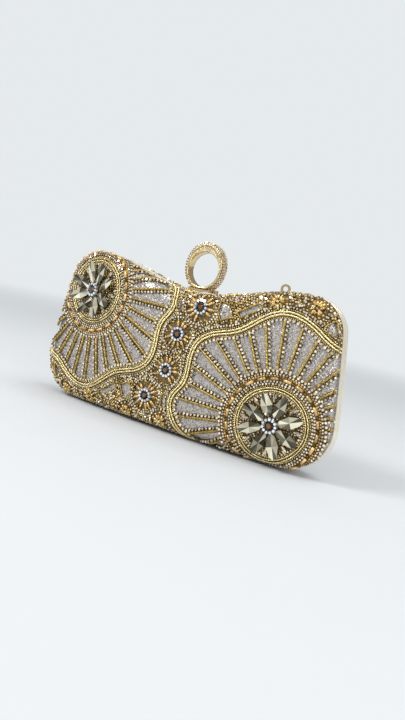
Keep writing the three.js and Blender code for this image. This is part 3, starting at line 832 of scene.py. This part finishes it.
def frameMesh():
    loop = outlineLoop(300)
    inward = inwardOf(loop)
    rings = []
    for inset, depth in frameForm["section"]:
        flat = loop + inward * inset
        rings.append(np.stack([flat[:, 0], np.full(len(flat), -depth), flat[:, 1]], 1))
    mesh = asMesh(loft(rings, looped=True), "frontFrame")
    f = frameForm
    cutter = bmesh.new()
    size = Matrix.Diagonal((2 * f["notchHalf"] * mm, 2 * f["notchReach"] * mm, f["notchHigh"] * mm, 1))
    for x in f["notch"]:
        place = Matrix.Translation((x * mm, 0, (f["notchTop"] - f["notchHigh"] / 2) * mm))
        bmesh.ops.create_cube(cutter, size=1, matrix=place @ size)
    notchTool = bpy.data.objects.new("notchTool", asMesh(cutter, "notchTool", False))
    work = bpy.data.objects.new("frameWork", mesh)
    for o in (notchTool, work):
        bpy.context.scene.collection.objects.link(o)
    cut = work.modifiers.new("hingeNotch", "BOOLEAN")
    cut.operation, cut.object, cut.solver = "DIFFERENCE", notchTool, "EXACT"
    bpy.context.view_layer.update()
    done = bpy.data.meshes.new_from_object(work.evaluated_get(bpy.context.evaluated_depsgraph_get()))
    for o in (work, notchTool):
        bpy.data.objects.remove(o)
    bm = bmesh.new()
    bm.from_mesh(done)
    sharp = [e for e in bm.edges if e.is_manifold and e.calc_face_angle(0) > math.radians(42)]
    for e in sharp:
        e.smooth = False
    return asMesh(bm, "frontFrame")


frontFrame = frameMesh()
for half in halves:
    mesh = frontFrame if half == "front" else turnedMesh(frontFrame, "rearFrame")
    addPiece(half + "FrameBand", mesh, finishes["paleGold"], half, [half + "_frame"])
print("frames formed")

# the finger ring: a round bore low in an upright oval, whose foot is cut flat where it meets the lever
ringForm = {
    "bore": 10.0, "boreRise": 12.4, "halfWidth": 11.9, "halfHeight": 13.9, "half": 3.5,
    "forward": 0.9, "sunk": 1.2, "steps": 96,
    # rows of stones round the outside, and then on both sides: place, count, and a shift of the row
    "rimRows": [(-2.5, 42, 0.0), (-0.85, 44, 0.5), (0.85, 44, 0.0), (2.5, 42, 0.5)], "rimArc": (-58, 296),
    "sideRows": [(0.0, 44), (1.7, 38), (3.3, 30)], "sideArc": (-60, 300),
    "rimStone": 1.75, "sideStone": 1.55, "sideInset": 1.1, "boreEdge": 0.75, "goldShare": 0.1,
}


def ringPlace():
    return np.array([0, -ringForm["forward"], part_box("clasp_ring")[0].z / mm - ringForm["sunk"]])


def ringTurn():
    return np.linspace(0, 2 * math.pi, ringForm["steps"], endpoint=False) - math.pi / 2


def ringOval(inset, y):
    r, turn = ringForm, ringTurn()
    return np.stack([(r["halfWidth"] - inset) * np.cos(turn), np.full(r["steps"], y),
                     r["halfHeight"] + (r["halfHeight"] - inset) * np.sin(turn)], 1)


def ringBore(radius, y):
    r, turn = ringForm, ringTurn()
    return np.stack([radius * np.cos(turn), np.full(r["steps"], y), r["boreRise"] + radius * np.sin(turn)], 1)


def ringBand():
    h, bore = ringForm["half"], ringForm["bore"]
    rings = [ringOval(0.8, -h), ringOval(0.25, -h + 0.4), ringOval(0.05, -1.8), ringOval(0, 0),
             ringOval(0.05, 1.8), ringOval(0.25, h - 0.4), ringOval(0.8, h),
             ringBore(bore + 0.4, h), ringBore(bore + 0.05, h - 0.5), ringBore(bore, 0),
             ringBore(bore + 0.05, -h + 0.5), ringBore(bore + 0.4, -h)]
    bm = loft([ring + ringPlace() for ring in rings], looped=True)
    foot = Vector((0, 0, (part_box("clasp_ring")[0].z + 0.00001)))
    cut = bmesh.ops.bisect_plane(bm, geom=bm.verts[:] + bm.edges[:] + bm.faces[:], plane_co=foot,
                                 plane_no=(0, 0, -1), clear_outer=True)
    bmesh.ops.holes_fill(bm, edges=[e for e in cut["geom_cut"] if isinstance(e, bmesh.types.BMEdge)])
    return asMesh(bm, "claspRingBand")


def setStone(spot, normal, along, width):
    n = normal + np.array([dice.uniform(-0.2, 0.2) for _ in range(3)])
    n /= np.linalg.norm(n)
    t = along - n * np.dot(along, n)
    t /= np.linalg.norm(t)
    axes = np.stack([t * width, np.cross(n, t) * width, n * 1.2], 1)
    finish = "brightGold" if dice.random() < ringForm["goldShare"] else "crystal"
    trays.setdefault((finish, "ringGem"), []).append((spot + ringPlace(), axes, dice.uniform(0.7, 1.5)))


def paveRim():
    r = ringForm
    start, arc = r["rimArc"]
    for y, count, shift in r["rimRows"]:
        for k in range(count):
            a = math.radians(start + arc * (k + shift) / count)
            out = np.array([math.cos(a) / r["halfWidth"], 0, math.sin(a) / r["halfHeight"]])
            out /= np.linalg.norm(out)
            spot = np.array([r["halfWidth"] * math.cos(a), y, r["halfHeight"] * (1 + math.sin(a))])
            setStone(spot + out * 0.15, out, np.array([0, 1, 0]), r["rimStone"])


def paveSide(outY):
    r = ringForm
    start, arc = r["sideArc"]
    y = outY * (r["half"] + 0.05)
    for lane, count in r["sideRows"]:
        inset = r["sideInset"] + lane
        for k in range(count):
            a = math.radians(start + arc * (k + lane * 0.3) / count)
            x = (r["halfWidth"] - inset) * math.cos(a)
            z = r["halfHeight"] + (r["halfHeight"] - inset) * math.sin(a)
            if math.hypot(x, z - r["boreRise"]) > r["bore"] + r["boreEdge"]:
                out = np.array([math.cos(a), 0, math.sin(a)])
                setStone(np.array([x, y, z]), np.array([0, outY, 0]), out, r["sideStone"])


paveRim()
paveSide(-1)
paveSide(1)
stamps["ringGem"] = stamps["gem"]
addPiece("claspRingBand", ringBand(), finishes["ringGold"], "clasp", ["clasp_ring"])
addPiece("claspRingStones", strung("crystal", "ringGem"), finishes["crystal"], "clasp")
addPiece("claspRingGrains", strung("brightGold", "ringGem"), finishes["brightGold"], "clasp")
print("ring set")

# the shell takes the near-black finish: painted shade in the gap between cloth and frame
nodeFinishes = {"shell": "board", "hinge": "steel", "clasp_pin": "steel", "clasp_spring": "steel"}
for name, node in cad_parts.items():
    if node.hide_render:
        continue
    finish = next((f for part, f in nodeFinishes.items() if part in name), "paleGold")
    if name.startswith(("clasp_lever", "clasp_ear", "chain_lug")):
        finish = "ringGold"
    node.data.materials.clear()
    node.data.materials.append(finishes[finish])

# the set: a pale floor, soft lamps and the camera
setForm = {"floorTone": (0.50, 0.51, 0.52), "fade": (0.3, 1.6),
           "sky": (0.79, 0.825, 0.84), "room": (0.30, 0.30, 0.31)}


def floorFinish():
    f = setForm
    finish, tree, shader = newFinish("paleFloor", **{"Specular IOR Level": 0.0, "Emission Strength": 1.0})
    # far off, the floor turns into the pale backdrop
    far = nodeOf(tree, "ShaderNodeVectorMath", operation="LENGTH")
    tree.links.new(tree.nodes.new("ShaderNodeTexCoord").outputs["Object"], far.inputs[0])
    fade = nodeOf(tree, "ShaderNodeMapRange", interpolation_type="SMOOTHSTEP")
    fade.inputs["From Min"].default_value, fade.inputs["From Max"].default_value = f["fade"]
    tree.links.new(far.outputs["Value"], fade.inputs["Value"])
    speck = grainOf(tree, 30)
    tone = nodeOf(tree, "ShaderNodeMix", data_type="RGBA")
    plain = shadeBetween(tree, speck, f["floorTone"], tuple(c * 1.02 for c in f["floorTone"]))
    tree.links.new(plain, tone.inputs[6])
    tone.inputs[7].default_value = (0, 0, 0, 1)
    tree.links.new(fade.outputs["Result"], tone.inputs["Factor"])
    tree.links.new(tone.outputs[2], shader.inputs["Base Color"])
    haze = shadeBetween(tree, fade.outputs["Result"], (0, 0, 0), f["sky"])
    tree.links.new(haze, shader.inputs["Emission Color"])
    roughFrom(tree, shader, speck, 0.7, 0.8)
    return finish


floor = bmesh.new()
bmesh.ops.create_grid(floor, x_segments=2, y_segments=2, size=40.0)
floorMesh = asMesh(floor, "floor", False)
floorMesh.materials.append(floorFinish())
floorPiece = bpy.data.objects.new("floor", floorMesh)
bpy.context.scene.collection.objects.link(floorPiece)
floorPiece.location.z = -0.0004

world = bpy.data.worlds.new("studio")
bpy.context.scene.world = world
world.use_nodes = True
room = world.node_tree
glossy = room.nodes.new("ShaderNodeLightPath").outputs["Is Glossy Ray"]
# gloss sees a dimmer room, so that metal and stones keep their contrast
mixed = nodeOf(room, "ShaderNodeMix", data_type="RGBA")
mixed.inputs[6].default_value, mixed.inputs[7].default_value = (*setForm["sky"], 1), (*setForm["room"], 1)
room.links.new(glossy, mixed.inputs["Factor"])
room.links.new(mixed.outputs[2], room.nodes["Background"].inputs["Color"])
bpy.context.scene.view_settings.view_transform = "Standard"

lamps = {
    "keyLamp": {"at": (-0.50, -0.60, 0.75), "size": 0.35, "power": 7.0},
    "fillLamp": {"at": (0.75, -0.45, 0.40), "size": 0.5, "power": 2.0},
    "topLamp": {"at": (0.3, 0.05, 0.90), "size": 0.5, "power": 4.0},
}
for name, lamp in lamps.items():
    data = bpy.data.lights.new(name, "AREA")
    data.size, data.energy = lamp["size"], lamp["power"]
    light = bpy.data.objects.new(name, data)
    bpy.context.scene.collection.objects.link(light)
    light.location = lamp["at"]
    light.rotation_euler = (Vector((0, 0, 0.05)) - light.location).to_track_quat("-Z", "Y").to_euler()

view = {"at": (0.18143, -0.32280, 0.08034), "lens": 31.41,
        "right": (0.85153, 0.47506, 0.22185), "up": (-0.24146, -0.02027, 0.97020),
        "back": (0.46540, -0.87972, 0.09745)}
camera = bpy.data.objects.new("camera", bpy.data.cameras.new("camera"))
bpy.context.scene.collection.objects.link(camera)
camera.rotation_euler = Matrix((view["right"], view["up"], view["back"])).transposed().to_euler()
camera.location = view["at"]
camera.data.lens = view["lens"]
camera.data.clip_start = 0.01
bpy.context.scene.camera = camera
